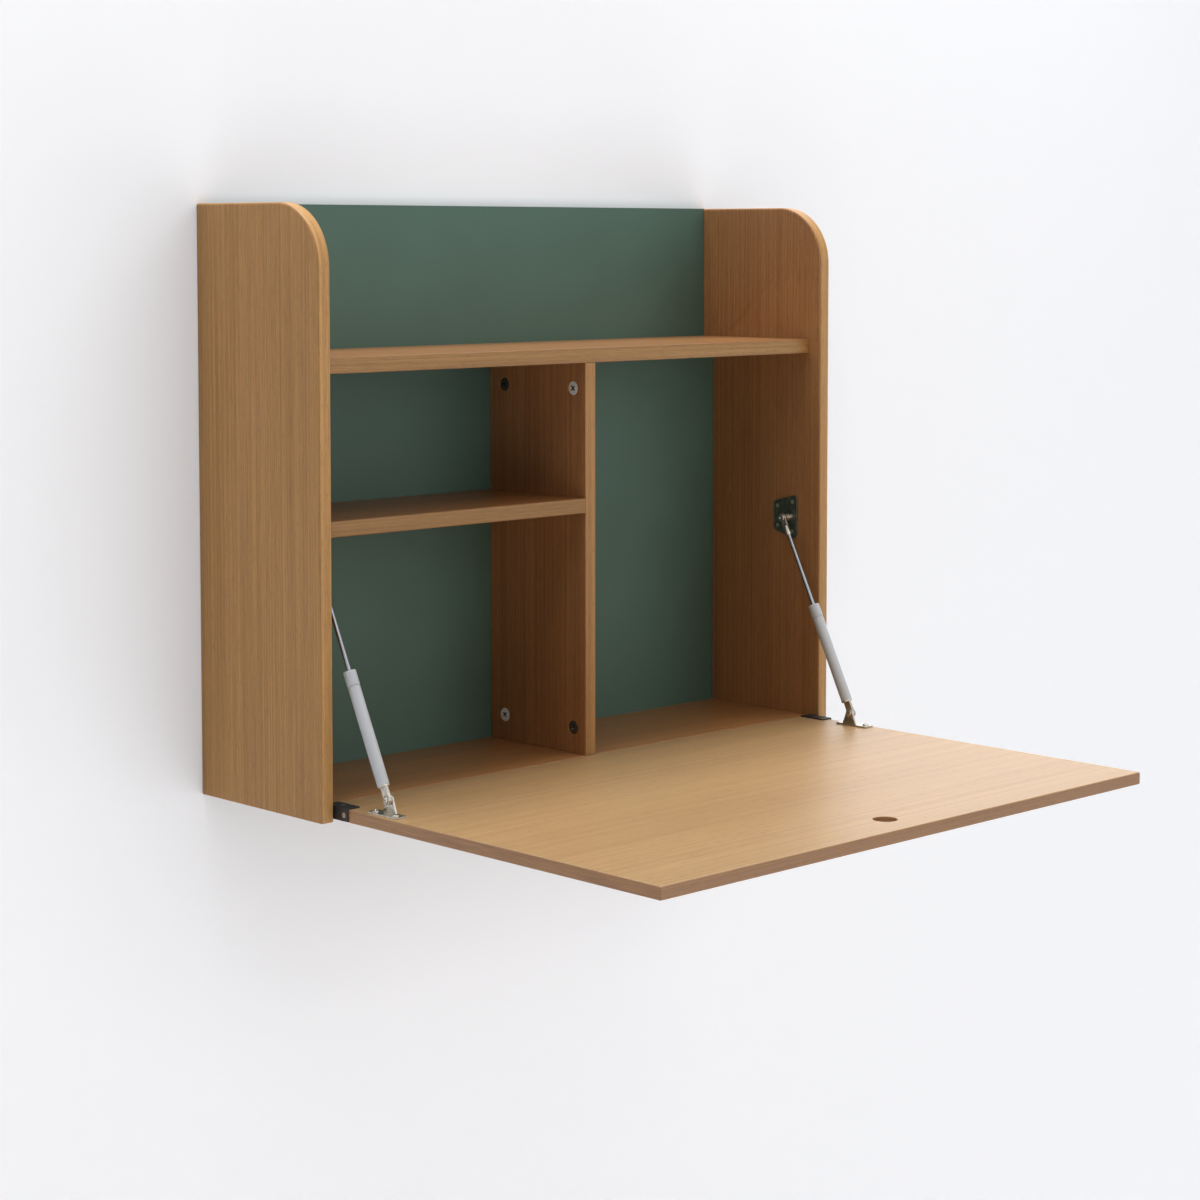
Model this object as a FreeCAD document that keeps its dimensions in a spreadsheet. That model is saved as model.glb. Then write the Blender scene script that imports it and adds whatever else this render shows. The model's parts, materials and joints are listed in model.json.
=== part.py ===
"""A fold down wall desk: an oak-veneered wall cabinet whose lower front is a flap on two gas struts.

Frame: X to the right along the wall, Y into the wall, Z up, in millimetres.
The origin lies on the wall, in the middle of the desk's width, on the line of the wall screws.
The flap is modelled open, as a worktop.
"""
import FreeCAD, Part
import os
import re

import Sketcher

Vector = FreeCAD.Vector
Rotation = FreeCAD.Rotation
Placement = FreeCAD.Placement

SIZES = (
    # The carcass
    ("width", 750, "over the two sides"),
    ("depth", 200, "of the sides, from the wall to their front edges"),
    ("lower_bay", 264, "clear height from the bottom panel to the lower shelf"),
    ("upper_bay", 146, "clear height from the lower shelf to the upper shelf"),
    ("tray_height", 153, "of the sides above the upper shelf"),
    ("board", 15, "thickness of the sides, the partition and the bottom panel"),
    ("shelf_board", 16, "thickness of the two shelves"),
    ("corner_radius", 65, "of the sides' top front corners"),
    ("side_round", 2.5, "rounding of the sides' front edges"),
    ("edge_round", 1, "rounding of the other boards' front edges"),
    ("recess", 18, "from the sides' front edges back to the shelves"),
    ("partition_place", 0, "of the partition's left face from the desk's middle"),
    ("upper_back_board", 12, "thickness of the upper back panel"),
    ("lower_back_board", 8, "thickness of the lower back panel"),
    ("groove_depth", 5, "of the grooves that hold the lower back panel"),
    ("groove_play", 0.1, "round the lower back panel in its grooves"),
    # The hanging cleats
    ("cleat_board", 18, "thickness of the two cleats, and the height of their bevels"),
    ("cleat_gap", 2, "between the cleats and the lower back panel"),
    ("cabinet_cleat_height", 64, "of the cabinet cleat's rear face"),
    ("cleat_drop", 25, "from the wall screws down to the wall cleat's lower edge"),
    ("cleat_rise", 35, "from the wall screws up to the wall cleat's front top edge"),
    ("cleat_end_gap", 30, "from the wall cleat's ends to the sides"),
    ("wall_hole_radius", 2.75, "of the wall screws' holes"),
    ("wall_sink_radius", 5.5, "of the countersinks for the wall screws' heads"),
    ("wall_hole_edge", 30, "from the wall cleat's ends to the outer wall screws"),
    ("wall_hole_inner", 120, "of the inner wall screws from the middle"),
    # The cam joints and dowels
    ("cam_radius", 7.5, "of a cam lock's bore"),
    ("cam_bore_depth", 12.5, "of a cam lock's bore"),
    ("cam_sink", 0.2, "of a cam lock below the board's face"),
    ("cam_reach", 28, "from a cam lock's middle to the joint"),
    ("cam_front", 20, "from the boards' front edges back to the front cam locks"),
    ("cam_back", 23, "from the lower back panel forward to the rear cam locks"),
    ("cam_slot_length", 10, "of each slot in the cam lock's cross"),
    ("cam_slot_width", 1.7, "of each slot in the cam lock's cross"),
    ("cam_slot_depth", 2, "of the cam lock's cross"),
    ("bolt_head_radius", 3.1, "of a cam bolt's head"),
    ("bolt_head_half", 2.5, "half the length of a cam bolt's head"),
    ("bolt_neck_radius", 2, "of a cam bolt's neck"),
    ("bolt_neck_length", 6, "of a cam bolt's neck"),
    ("bolt_shank_radius", 3.4, "of a cam bolt's shank"),
    ("bolt_thread_radius", 2.5, "of a cam bolt's threaded end"),
    ("bolt_thread_length", 11, "of a cam bolt's threaded end"),
    ("dowel_radius", 4, "of the dowels in the boards' joints and the cleat"),
    ("dowel_half", 10, "of a dowel's length that sits in the receiving board"),
    ("dowel_tail", 20, "of a dowel's length that sits in the joined board's end"),
    ("back_dowel_radius", 3, "of the upper back panel's dowels"),
    ("cleat_dowel_edge", 14, "from the upper shelf down to the upper cleat dowel"),
    ("cleat_dowel_pitch", 24, "between the two dowels at each end of the cleat"),
    ("back_dowel_edge", 30, "from the upper back panel's edges to its dowels"),
    ("fit_play", 0.05, "radial play of pieces set into bores, and of running fits"),
    ("bore_play", 0.5, "left at the bottoms of blind bores"),
    # The flap and its hinges
    ("flap_board", 13, "thickness of the flap"),
    ("flap_length", 467, "of the flap, from its back edge to its front edge"),
    ("flap_seam", 2, "between the open flap and the bottom panel"),
    ("flap_round", 1.5, "rounding of the flap's edges"),
    ("finger_radius", 12, "of the finger hole"),
    ("finger_place", -11, "of the finger hole's middle from the desk's middle"),
    ("finger_edge", 39, "from the flap's front edge to the finger hole's middle"),
    ("hinge_back", 8.5, "from the hinge axis to the flap's back edge"),
    ("hinge_down", 5.5, "from the flap's top face down to the hinge axis"),
    ("hinge_sheet", 1.5, "thickness of the hinge brackets"),
    ("hinge_clear", 0.5, "between the hinge brackets and the sides"),
    ("hinge_start", 2.5, "from the flap's back edge to the hinge brackets"),
    ("hinge_length", 34, "of the hinge brackets"),
    ("hinge_top_width", 14, "of the hinge brackets' top flanges"),
    ("hinge_side_height", 12, "of the hinge brackets' side flanges, below the flap's top face"),
    ("hinge_pin_radius", 2.5, "of the hinge pins"),
    ("hinge_pin_depth", 8, "of the hinge pins into the sides"),
    ("hinge_head_radius", 4, "of the hinge pins' heads"),
    ("hinge_head_thick", 1.5, "of the hinge pins' heads"),
    ("hinge_head_room", 0.3, "round the hinge pins' heads in the flap"),
    ("bush_radius", 4, "of the bushes' outsides"),
    ("bush_length", 10, "of the bushes"),
    ("hinge_side_screw_edge", 6, "from the hinge brackets' front ends to their side screws"),
    ("hinge_top_screw_edge", 17, "from the hinge brackets' front ends to their top screws"),
    # The screws
    ("small_head_radius", 2.6, "of the flush screws' heads"),
    ("small_shank_radius", 1.4, "of the flush screws' shanks"),
    ("pan_head_radius", 3.5, "of the strut brackets' screw heads"),
    ("pan_head_thick", 2, "of the strut brackets' screw heads"),
    ("pan_shank_radius", 1.75, "of the strut brackets' screw shanks"),
    ("screw_length", 9, "of the screws' shanks"),
    ("slot_margin", 1, "from a screw's cross recess to the edge of its head"),
    ("slot_width", 0.9, "of each slot in a screw's cross recess"),
    ("slot_depth", 0.9, "of a screw's cross recess"),
    ("pivot_slot_margin", 1.6, "from a pivot's cross recess to the edge of its head"),
    ("pivot_slot_width", 1.2, "of each slot in a pivot's cross recess"),
    ("pivot_slot_depth", 1.4, "of a pivot's cross recess"),
    ("cut_past", 1, "how far a cutter runs past the face that it opens"),
    # The struts' fixings
    ("strut_inset", 16, "from a side's inner face to the strut's axis"),
    ("strut_foot_ahead", 64, "from the sides' front edges to the strut's lower pivot"),
    ("strut_foot_up", 14.3, "from the flap's top face to the strut's lower pivot"),
    ("strut_head_back", 43, "from the sides' front edges to the strut's upper pivot"),
    ("strut_head_below", 31.5, "from the lower shelf's underside down to the strut's upper pivot"),
    ("bracket_ahead", 24, "from the lower pivot to the strut bracket's front end"),
    ("bracket_behind", 19, "from the lower pivot to the strut bracket's rear end"),
    ("bracket_width", 14, "of the strut bracket's base plate"),
    ("bracket_sheet", 2, "thickness of the strut bracket"),
    ("bracket_screw_edge", 6.5, "from the strut bracket's ends to its screws"),
    ("bracket_screw_inset", 5, "from the strut bracket's outer edge to its screws"),
    ("ear_base", 21, "width of the strut bracket's ear at its foot"),
    ("ear_radius", 5, "of the strut bracket's ear round its pivot"),
    ("pivot_radius", 2.4, "of the pivot screws' shanks"),
    ("pivot_head_radius", 4.6, "of the pivot screws' heads"),
    ("pivot_head_thick", 2.6, "of the pivot screws' heads"),
    ("pivot_tail_radius", 3.4, "of the pivot screws' riveted tails"),
    ("pivot_tail_thick", 1.6, "of the pivot screws' riveted tails"),
    ("plate_sheet", 2, "thickness of the side plates"),
    ("plate_front", 34, "from the sides' front edges to the side plates"),
    ("plate_width", 36.5, "of the side plates, front to back"),
    ("plate_front_half", 26.2, "half the height of the side plates' front edges"),
    ("plate_back_half", 17, "half the height of the side plates' back edges"),
    ("plate_corner", 5, "rounding of the side plates' corners"),
    ("plate_screw_edge", 6.5, "from the side plates' front and back edges to their screws"),
    ("plate_screw_slope", 7, "from the side plates' sloping edges to their screws"),
    ("side_clear", 0.3, "between pieces that pass one another"),
    # The struts
    ("tube_radius", 6.25, "of the strut tubes"),
    ("tube_wall", 1.25, "thickness of the strut tubes' walls"),
    ("tube_start", 15, "from the lower pivot to the strut tube"),
    ("rod_show", 88, "length of the rods between the glands and the rod eyes with the flap open"),
    ("gland_length", 16, "of the glands beyond the tubes"),
    ("gland_spigot", 8, "of the glands inside the tubes"),
    ("gland_step", 0.25, "of the glands' collars out from the tubes"),
    ("tongue_thick", 3, "of the flat tongues"),
    ("tongue_half", 4.5, "half the tongues' width"),
    ("tongue_cap", 1.5, "thickness of the discs that close the tubes"),
    ("tongue_plug", 5, "of the tongues' plugs inside the tubes"),
    ("rod_radius", 2.25, "of the strut rods"),
    ("rod_thread_radius", 1.9, "of the strut rods' threaded ends"),
    ("rod_thread_length", 9, "of the strut rods' threaded ends, inside the rod eyes"),
    ("piston_thick", 8, "of the pistons"),
    ("piston_stop", 1.5, "between the pistons and the glands with the flap open"),
    ("eye_thick", 2.5, "of the flat rod eyes"),
    ("eye_radius", 5, "of the rod eyes round their studs"),
    ("eye_socket_radius", 3.4, "of the rod eyes' sockets"),
    ("eye_socket_length", 11, "of the rod eyes' sockets"),
    ("eye_length", 22, "of the rod eyes, from the stud to the socket's end"),
    ("stud_radius", 2.4, "of the studs in the rod eyes"),
    ("stud_body_radius", 3.2, "of the studs' bodies"),
    ("stud_collar_radius", 4.6, "of the studs' collars"),
    ("stud_collar_thick", 3, "of the studs' collars"),
    ("stud_nut_radius", 4.2, "of the studs' round nuts"),
    ("stud_nut_thick", 3, "of the studs' round nuts"),
)

doc = FreeCAD.newDocument("wall_desk")
sheet = doc.addObject("Spreadsheet::Sheet", "sizes")
for row, (alias, value, note) in enumerate(SIZES, start=1):
    sheet.set(f"A{row}", alias)
    sheet.set(f"B{row}", str(value))
    sheet.setAlias(f"B{row}", alias)
    sheet.set(f"C{row}", note)
doc.recompute()

ALIASES = re.compile(r"\b(" + "|".join(alias for alias, value, note in SIZES) + r")\b")
SIDES = (("left", -1), ("right", 1))
SAME = 0.001  # places and directions closer than this count as equal
parts = []


# Places that several pieces share

INNER = "(width / 2 - board)"
FRONT = "(-depth)"
INSIDE = "(recess - depth)"
CLEAT_SEAT = "(cleat_rise - cleat_board)"
UPPER_UNDER = f"({CLEAT_SEAT} + cabinet_cleat_height)"
UPPER_TOP = f"({UPPER_UNDER} + shelf_board)"
HEAD = f"({UPPER_TOP} + tray_height)"
LOWER_TOP = f"({UPPER_UNDER} - upper_bay)"
LOWER_UNDER = f"({LOWER_TOP} - shelf_board)"
FLOOR_TOP = f"({LOWER_UNDER} - lower_bay)"
FOOT = f"({FLOOR_TOP} - board)"
CLEAT_HALF = f"({INNER} - cleat_end_gap)"
WALL_HOLES = (f"({CLEAT_HALF} - wall_hole_edge)", "wall_hole_inner")
LOWER_BACK_REAR = "(-cleat_board - cleat_gap)"
LOWER_BACK_FACE = "(-cleat_board - cleat_gap - lower_back_board)"
PARTITION_RIGHT = "(partition_place + board)"
CAM_ROWS = (f"({INSIDE} + cam_front)", f"({LOWER_BACK_FACE} - cam_back)")
DOWEL_ROW = f"(({CAM_ROWS[0]} + {CAM_ROWS[1]}) / 2)"
FLAP_TOP = FLOOR_TOP
FLAP_UNDER = f"({FLAP_TOP} - flap_board)"
FLAP_BACK = f"({INSIDE} - flap_seam)"
FLAP_FRONT = f"({FLAP_BACK} - flap_length)"
FLAP_SIDE_GAP = "(hinge_sheet + hinge_clear)"
FLAP_HALF = f"({INNER} - {FLAP_SIDE_GAP})"
HINGE_Y = f"({FLAP_BACK} - hinge_back)"
HINGE_Z = f"({FLAP_TOP} - hinge_down)"
LOWER_PIVOT_Y = f"({FRONT} - strut_foot_ahead)"
LOWER_PIVOT_Z = f"({FLAP_TOP} + strut_foot_up)"
UPPER_PIVOT_Y = f"({FRONT} + strut_head_back)"
UPPER_PIVOT_Z = f"({LOWER_UNDER} - strut_head_below)"
STRUT_RUN = f"({UPPER_PIVOT_Y} - {LOWER_PIVOT_Y})"
STRUT_RISE = f"({UPPER_PIVOT_Z} - {LOWER_PIVOT_Z})"
STRUT_LENGTH = f"(sqrt({STRUT_RUN}^2 + {STRUT_RISE}^2))"
EYE_FOOT = f"({STRUT_LENGTH} - eye_length)"
TUBE_TOP = f"({EYE_FOOT} - rod_show - gland_length)"
TUBE_BORE = "(tube_radius - tube_wall)"
PISTON_TOP = f"({TUBE_TOP} - gland_spigot - piston_stop)"


# Helpers that turn texts of sizes into bound geometry

def bound(text):
    """The text with each size's name turned into a reference to its cell."""
    return ALIASES.sub(r"sizes.\1", text)


def value_of(text):
    return float(sheet.evalExpression(bound(text)))


def bind(item, path, text):
    item.setExpression(path, bound(text))


def stretch(start, sign, near, far):
    """The low and high bounds of a stretch that lies near to far from a start, in the direction of sign."""
    if sign > 0:
        return f"{start} + ({near})", f"{start} + ({far})"
    return f"{start} - ({far})", f"{start} - ({near})"


def inner_face(sign):
    return f"({sign} * {INNER})"


def slab(x, y, z):
    """A box between three pairs of bounds."""
    box = doc.addObject("Part::Box", "slab")
    for (low, high), size, axis in zip((x, y, z), ("Length", "Width", "Height"), "xyz"):
        bind(box, size, f"({high}) - ({low})")
        bind(box, f"Placement.Base.{axis}", low)
    return box


TURNS = {"x": Rotation(Vector(0, 1, 0), 90), "y": Rotation(Vector(-1, 0, 0), 90), "z": Rotation()}


def set_along(item, axis, low, centre):
    """Turns a round piece to lie along an axis from its low bound, at a centre on the other two axes."""
    item.Placement = Placement(Vector(), TURNS[axis])
    bind(item, f"Placement.Base.{axis}", low)
    others = [other for other in "xyz" if other != axis]
    for other, text in zip(others, centre):
        bind(item, f"Placement.Base.{other}", text)


def bar(axis, ends, centre, radius):
    """A round bar along an axis, between two bounds."""
    low, high = ends
    cylinder = doc.addObject("Part::Cylinder", "bar")
    bind(cylinder, "Radius", radius)
    bind(cylinder, "Height", f"({high}) - ({low})")
    set_along(cylinder, axis, low, centre)
    return cylinder


def taper(axis, ends, centre, low_radius, high_radius):
    """A cone's frustum along an axis, between two bounds."""
    low, high = ends
    cone = doc.addObject("Part::Cone", "taper")
    bind(cone, "Radius1", low_radius)
    bind(cone, "Radius2", high_radius)
    bind(cone, "Height", f"({high}) - ({low})")
    set_along(cone, axis, low, centre)
    return cone


def fuse(*items):
    if len(items) == 1:
        return items[0]
    joined = doc.addObject("Part::MultiFuse", "fuse")
    joined.Shapes = list(items)
    joined.Refine = True
    return joined


def cut(base, *tools):
    drilled = doc.addObject("Part::Cut", "cut")
    drilled.Base = base
    drilled.Tool = fuse(*tools)
    return drilled


def finish(label, *items):
    """Names a sub-part. Several items are separate solids of one group."""
    piece = items[0]
    if len(items) > 1:
        piece = doc.addObject("Part::Compound", label)
        piece.Links = list(items)
    piece.Label = label
    parts.append(piece)
    return piece


def new_body(name, x="0", y="0", z="0"):
    body = doc.addObject("PartDesign::Body", name)
    for axis, text in zip("xyz", (x, y, z)):
        bind(body, f"Placement.Base.{axis}", text)
    return body


def outline(body, plane, corners):
    """A closed sketch of straight lines on one of the body's origin planes, with bound corners."""
    sketch = body.newObject("Sketcher::SketchObject", "outline")
    support = next(item for item in body.Origin.OriginFeatures if item.Role == plane)
    sketch.AttachmentSupport = [(support, "")]
    sketch.MapMode = "FlatFace"
    spots = [Vector(value_of(u), value_of(v), 0) for u, v in corners]
    count = len(spots)
    for index in range(count):
        sketch.addGeometry(Part.LineSegment(spots[index], spots[(index + 1) % count]), False)
    for index in range(count):
        sketch.addConstraint(Sketcher.Constraint("Coincident", index, 2, (index + 1) % count, 1))
    for index, corner in enumerate(corners):
        for text, kind, axis in zip(corner, ("DistanceX", "DistanceY"), (-2, -1)):
            if text == "0":
                sketch.addConstraint(Sketcher.Constraint("PointOnObject", index, 1, axis))
                continue
            number = sketch.addConstraint(Sketcher.Constraint(kind, -1, 1, index, 1, value_of(text)))
            bind(sketch, f"Constraints[{number}]", text)
    return sketch


def pad(body, sketch, length):
    feature = body.newObject("PartDesign::Pad", "pad")
    feature.Profile = sketch
    bind(feature, "Length", length)
    body.Tip = feature
    doc.recompute()
    return feature


def round_edges(body, radius, wanted):
    """Rounds the body's edges that pass the test."""
    base = body.Tip
    names = [f"Edge{number}" for number, edge in enumerate(base.Shape.Edges, start=1) if wanted(edge)]
    feature = body.newObject("PartDesign::Fillet", "round_edges")
    feature.Base = (base, names)
    bind(feature, "Radius", radius)
    body.Tip = feature
    doc.recompute()
    return feature


def lies_at(edge, axis, place):
    """Whether the whole edge lies in the plane at this place on an axis."""
    low = getattr(edge.BoundBox, axis + "Min")
    high = getattr(edge.BoundBox, axis + "Max")
    return abs(low - place) < SAME and abs(high - place) < SAME


def runs_along(edge, direction):
    """Whether the edge is a straight line in this direction."""
    if not isinstance(edge.Curve, Part.Line):
        return False
    return edge.Curve.Direction.cross(direction).Length < SAME


# Screws

def cross_recess(axis, sign, top, centre, reach, width, depth):
    """Two crossed slots sunk in a round head whose top lies at a place on an axis."""
    others = [other for other in "xyz" if other != axis]
    sunk = stretch(top, -sign, "0", depth)
    slots = []
    for long_axis in others:
        bounds = {axis: sunk}
        for other, middle in zip(others, centre):
            half = reach if other == long_axis else f"{width} / 2"
            bounds[other] = (f"{middle} - ({half})", f"{middle} + ({half})")
        slots.append(slab(bounds["x"], bounds["y"], bounds["z"]))
    return slots


def screw(axis, sign, seat, centre, head_radius, head_thick, shank_radius):
    """A cross-recessed screw. Its head rests on a seat and stands out in the direction of sign."""
    head = bar(axis, stretch(seat, sign, "0", head_thick), centre, head_radius)
    shank = bar(axis, stretch(seat, -sign, "0", "screw_length"), centre, shank_radius)
    top = f"({seat} + {sign} * ({head_thick}))"
    reach = f"{head_radius} - slot_margin"
    recess = cross_recess(axis, sign, top, centre, reach, "slot_width", "slot_depth")
    return cut(fuse(head, shank), *recess)


def pilot(axis, sign, seat, centre, shank_radius):
    """The hole for a screw's shank in the board that it is driven into."""
    depth = "screw_length + bore_play"
    return bar(axis, stretch(seat, -sign, "0", depth), centre, f"{shank_radius} + fit_play")


# Cam joints: the end of one board, the joined one, meets the face of another, the receiving one

class CamJoint:
    """The cam locks, bolts and dowel of one butt joint, and the bores that they need in both boards.

    The bolts run along bolt_axis, in the direction of sign, from the joined board into the receiving board.
    The cam locks are let into the joined board's face at cam_face, whose outward direction is face_sign.
    """

    def __init__(self, bolt_axis, sign, seam, cam_axis, face_sign, cam_face, middle):
        self.bolt_axis = bolt_axis
        self.sign = sign
        self.seam = seam
        self.cam_axis = cam_axis
        self.face_sign = face_sign
        self.cam_face = cam_face
        self.middle = middle

    def on_bolt(self, row):
        """A bolt's place on the two axes across it. The boards' rows are places in Y."""
        return (row, self.middle) if self.bolt_axis == "x" else (self.middle, row)

    def on_cam(self, row):
        """A cam lock's place on the two axes across it."""
        along = f"({self.seam} - {self.sign} * cam_reach)"
        return (along, row) if self.cam_axis == "z" else (row, along)

    def along_bolt(self, near, far, row, radius):
        """A round stretch on a bolt's line, measured from the seam into the joined board."""
        return bar(self.bolt_axis, stretch(self.seam, -self.sign, near, far), self.on_bolt(row), radius)

    def cams(self):
        locks = []
        for row in CAM_ROWS:
            ends = stretch(self.cam_face, -self.face_sign, "cam_sink", "cam_bore_depth - cam_sink")
            drum = bar(self.cam_axis, ends, self.on_cam(row), "cam_radius - fit_play")
            pocket = self.along_bolt("0", "cam_reach + bolt_head_half + bore_play", row,
                                     "bolt_shank_radius + fit_play")
            top = f"({self.cam_face} - {self.face_sign} * cam_sink)"
            cross = cross_recess(self.cam_axis, self.face_sign, top, self.on_cam(row),
                                 "cam_slot_length / 2", "cam_slot_width", "cam_slot_depth")
            locks.append(cut(drum, pocket, *cross))
        return locks

    def bolts(self):
        bolts = []
        neck = "cam_reach - bolt_head_half - bolt_neck_length"
        head = "cam_reach - bolt_head_half"
        for row in CAM_ROWS:
            bolts.append(fuse(
                self.along_bolt("-bolt_thread_length", "0", row, "bolt_thread_radius"),
                self.along_bolt("0", neck, row, "bolt_shank_radius"),
                self.along_bolt(neck, head, row, "bolt_neck_radius"),
                self.along_bolt(head, "cam_reach + bolt_head_half", row, "bolt_head_radius"),
            ))
        return bolts

    def dowel(self):
        return self.along_bolt("-dowel_half", "dowel_tail", DOWEL_ROW, "dowel_radius")

    def joined_bores(self):
        bores = [self.along_bolt("0", "dowel_tail + bore_play", DOWEL_ROW, "dowel_radius + fit_play")]
        for row in CAM_ROWS:
            ends = stretch(self.cam_face, -self.face_sign, "0", "cam_bore_depth")
            bores.append(bar(self.cam_axis, ends, self.on_cam(row), "cam_radius"))
            bores.append(self.along_bolt("0", "cam_reach", row, "bolt_shank_radius + fit_play"))
        return bores

    def receiving_bores(self):
        bores = [self.along_bolt("-dowel_half - bore_play", "0", DOWEL_ROW, "dowel_radius + fit_play")]
        for row in CAM_ROWS:
            bores.append(self.along_bolt("-bolt_thread_length - bore_play", "0", row,
                                         "bolt_thread_radius + fit_play"))
        return bores


def shelf_joint(sign, seam, under):
    """A shelf's end: cam locks in its underside, bolts at half its thickness."""
    return CamJoint("x", sign, seam, "z", -1, under, f"({under} + shelf_board / 2)")


UPPER_JOINTS = {sign: shelf_joint(sign, inner_face(sign), UPPER_UNDER) for name, sign in SIDES}
LOWER_JOINTS = {
    -1: shelf_joint(-1, inner_face(-1), LOWER_UNDER),
    1: shelf_joint(1, "partition_place", LOWER_UNDER),
}
FLOOR_MIDDLE = f"({FOOT} + board / 2)"
FLOOR_JOINTS = {
    sign: CamJoint("x", sign, inner_face(sign), "z", -1, FOOT, FLOOR_MIDDLE) for name, sign in SIDES
}
PARTITION_MIDDLE = "(partition_place + board / 2)"
PARTITION_JOINTS = {
    -1: CamJoint("z", -1, FLOOR_TOP, "x", -1, "partition_place", PARTITION_MIDDLE),
    1: CamJoint("z", 1, UPPER_UNDER, "x", -1, "partition_place", PARTITION_MIDDLE),
}


def add_joinery():
    """The cam locks, bolts and dowels of the four joined boards, one node of each kind per board."""
    for board, joints in (("partition", PARTITION_JOINTS), ("upper_shelf", UPPER_JOINTS),
                          ("lower_shelf", LOWER_JOINTS), ("bottom_panel", FLOOR_JOINTS)):
        ends = list(joints.values())
        finish(f"{board}_cams", *[lock for joint in ends for lock in joint.cams()])
        finish(f"{board}_cam_bolts", *[bolt for joint in ends for bolt in joint.bolts()])
        finish(f"{board}_dowels", *[joint.dowel() for joint in ends])


# Dowels of the upper back panel and of the cabinet cleat

BACK_DOWELS = [
    ("(-upper_back_board / 2)", f"({UPPER_TOP} + back_dowel_edge)"),
    ("(-upper_back_board / 2)", f"({HEAD} - back_dowel_edge)"),
]
CLEAT_DOWELS = [
    ("(-cleat_board / 2)", f"({UPPER_UNDER} - cleat_dowel_edge)"),
    ("(-cleat_board / 2)", f"({UPPER_UNDER} - cleat_dowel_edge - cleat_dowel_pitch)"),
]


def end_dowel(sign, spot, radius):
    ends = stretch(inner_face(sign), sign, "-dowel_tail", "dowel_half")
    return bar("x", ends, spot, radius)


def end_dowel_bore(sign, spot, radius):
    ends = stretch(inner_face(sign), sign, "-dowel_tail - bore_play", "dowel_half + bore_play")
    return bar("x", ends, spot, f"{radius} + fit_play")


def add_end_dowels():
    for label, spots, radius in (("upper_back_dowels", BACK_DOWELS, "back_dowel_radius"),
                                 ("cleat_dowels", CLEAT_DOWELS, "dowel_radius")):
        finish(label, *[end_dowel(sign, spot, radius) for name, sign in SIDES for spot in spots])


# Boards

PLATE_MIDDLE = UPPER_PIVOT_Z
PLATE_FRONT = f"({FRONT} + plate_front)"
PLATE_SLOPE = "((plate_front_half - plate_back_half) / plate_width)"


def plate_screw_spots():
    """Y and Z of the four screws of a side plate, each as far from the sloping edge beside it."""
    spots = []
    for along in ("plate_screw_edge", "(plate_width - plate_screw_edge)"):
        rise = f"(plate_front_half - {along} * {PLATE_SLOPE} - plate_screw_slope)"
        for sign in (-1, 1):
            spots.append((f"({PLATE_FRONT} + {along})", f"({PLATE_MIDDLE} + {sign} * {rise})"))
    return spots


def add_side_panel(name, sign):
    """An upright side board with a rounded top front corner, drilled and grooved for what it carries."""
    face = inner_face(sign)
    height = f"({HEAD} - {FOOT})"
    body = new_body(f"{name}_side_board", x=stretch(face, sign, "0", "board")[0], y=FRONT, z=FOOT)
    profile = outline(body, "YZ_Plane", (("0", "0"), ("depth", "0"), ("depth", height), ("0", height)))
    pad(body, profile, "board")
    top = value_of(height)
    round_edges(body, "corner_radius", lambda edge: lies_at(edge, "Y", 0) and lies_at(edge, "Z", top))

    def at_front(edge):
        upright = lies_at(edge, "Y", 0) and runs_along(edge, Vector(0, 0, 1))
        return upright or isinstance(edge.Curve, Part.Circle)

    round_edges(body, "side_round", at_front)
    groove = slab(stretch(face, sign, "-cut_past", "groove_depth"),
                  (f"{LOWER_BACK_FACE} - groove_play", f"{LOWER_BACK_REAR} + groove_play"),
                  (FLOOR_TOP, UPPER_UNDER))
    bush_hole = bar("x", stretch(face, sign, "-cut_past", "bush_length"), (HINGE_Y, HINGE_Z),
                    "bush_radius + fit_play")
    tools = [groove, bush_hole]
    tools += [end_dowel_bore(sign, spot, "back_dowel_radius") for spot in BACK_DOWELS]
    tools += [end_dowel_bore(sign, spot, "dowel_radius") for spot in CLEAT_DOWELS]
    tools += [pilot("x", -sign, face, spot, "small_shank_radius") for spot in plate_screw_spots()]
    tools += UPPER_JOINTS[sign].receiving_bores() + FLOOR_JOINTS[sign].receiving_bores()
    if sign < 0:
        tools += LOWER_JOINTS[sign].receiving_bores()
    finish(f"{name}_side_panel", cut(body, *tools))


def plain_board(name, x, y, z):
    """A board with its two long front edges slightly rounded, with x, y and z as pairs of bounds."""
    body = new_body(f"{name}_board", x=x[0], y=y[0], z=z[0])
    length, depth, thick = (f"(({high}) - ({low}))" for low, high in (x, y, z))
    profile = outline(body, "XY_Plane", (("0", "0"), (length, "0"), (length, depth), ("0", depth)))
    pad(body, profile, thick)
    upright = Vector(0, 0, 1)
    flat = value_of(length) > value_of(thick)
    along = Vector(1, 0, 0) if flat else upright
    round_edges(body, "edge_round", lambda edge: lies_at(edge, "Y", 0) and runs_along(edge, along))
    return body


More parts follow.
